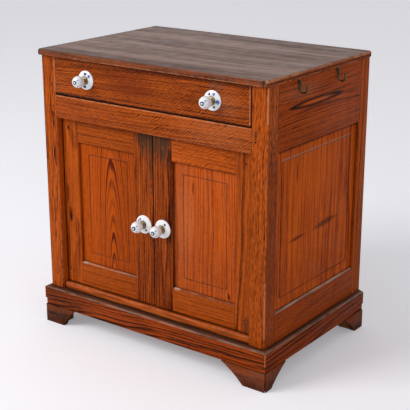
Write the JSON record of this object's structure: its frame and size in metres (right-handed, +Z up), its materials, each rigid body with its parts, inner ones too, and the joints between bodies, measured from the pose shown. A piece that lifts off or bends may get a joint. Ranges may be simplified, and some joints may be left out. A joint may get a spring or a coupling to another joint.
{
  "type": "pine cupboard",
  "caption": "Low pine cupboard with a wide drawer over framed and panelled doors, porcelain knobs, a nosed top board and a plinth on bracket feet.",
  "frame": {"origin": "on the floor, midway between the outermost points of the cupboard along X and Y", "axes": "+X to the right seen from the front, +Y from the front to the back, +Z up"},
  "size_m": [0.8302, 0.581, 0.855],
  "materials": {
    "top": "weathered, dull",
    "posts": "old varnish, satin",
    "side_rails": "old varnish, satin",
    "side_panels": "old varnish, satin",
    "front_boards": "old varnish, satin",
    "door_frames": "old varnish, satin",
    "door_panels": "old varnish, satin",
    "inside_pine": "bare, matt",
    "plinth": "worn varnish with dirt",
    "feet": "dark and dirty",
    "pegs": "old varnish, satin",
    "porcelain": "white glaze",
    "brass": "dull",
    "dark_iron": "dark, tarnished"
  },
  "bodies": {
    "case": {"top_board": "top", "front_left_post": "posts", "front_right_post": "posts", "back_left_post": "posts", "back_right_post": "posts", "left_side_top_rail": "side_rails", "right_side_top_rail": "side_rails", "left_side_bottom_rail": "side_rails", "right_side_bottom_rail": "side_rails", "left_side_panel": "side_panels", "right_side_panel": "side_panels", "drawer_rail": "front_boards", "front_bottom_rail": "inside_pine", "back_top_rail": "inside_pine", "back_bottom_rail": "inside_pine", "back_board_left": "inside_pine", "back_board_middle": "inside_pine", "back_board_right": "inside_pine", "bottom_board": "inside_pine", "shelf": "inside_pine", "shelf_battens": "inside_pine", "drawer_runners": "inside_pine", "stop_blocks": "inside_pine", "plinth_front": "plinth", "plinth_left": "plinth", "plinth_right": "plinth", "front_left_foot": "feet", "front_right_foot": "feet", "back_left_foot": "feet", "back_right_foot": "feet", "foot_corner_blocks": "feet", "frame_pegs": "pegs", "side_hooks": "dark_iron", "door_pivot_pins": "dark_iron"},
    "drawer": {"drawer_front": "front_boards", "drawer_left_side": "inside_pine", "drawer_right_side": "inside_pine", "drawer_back": "inside_pine", "drawer_bottom": "inside_pine", "drawer_knobs": "porcelain", "drawer_knob_roses": "porcelain", "drawer_knob_brass": "brass"},
    "left_door": {"left_door_hinge_stile": "door_frames", "left_door_meeting_stile": "door_frames", "left_door_top_rail": "door_frames", "left_door_bottom_rail": "door_frames", "left_door_panel": "door_panels", "left_door_pegs": "pegs", "left_door_knob": "porcelain", "left_door_rose": "porcelain", "left_door_knob_brass": "brass"},
    "right_door": {"right_door_hinge_stile": "door_frames", "right_door_meeting_stile": "door_frames", "right_door_top_rail": "door_frames", "right_door_bottom_rail": "door_frames", "right_door_panel": "door_panels", "right_door_pegs": "pegs", "right_door_knob": "porcelain", "right_door_rose": "porcelain", "right_door_knob_brass": "brass"}
  },
  "joints": [
    {"name": "drawer_slide", "type": "slide", "parent": "case", "child": "drawer", "axis": [0, -1, 0], "range_m": [0, 0.36]},
    {"name": "left_door_hinge", "type": "hinge", "parent": "case", "child": "left_door", "pos_m": [-0.3366, -0.2115, 0.1395], "axis": [0, 0, -1], "range_deg": [0, 92]},
    {"name": "right_door_hinge", "type": "hinge", "parent": "case", "child": "right_door", "pos_m": [0.3244, -0.2115, 0.1395], "axis": [0, 0, 1], "range_deg": [0, 92]}
  ]
}
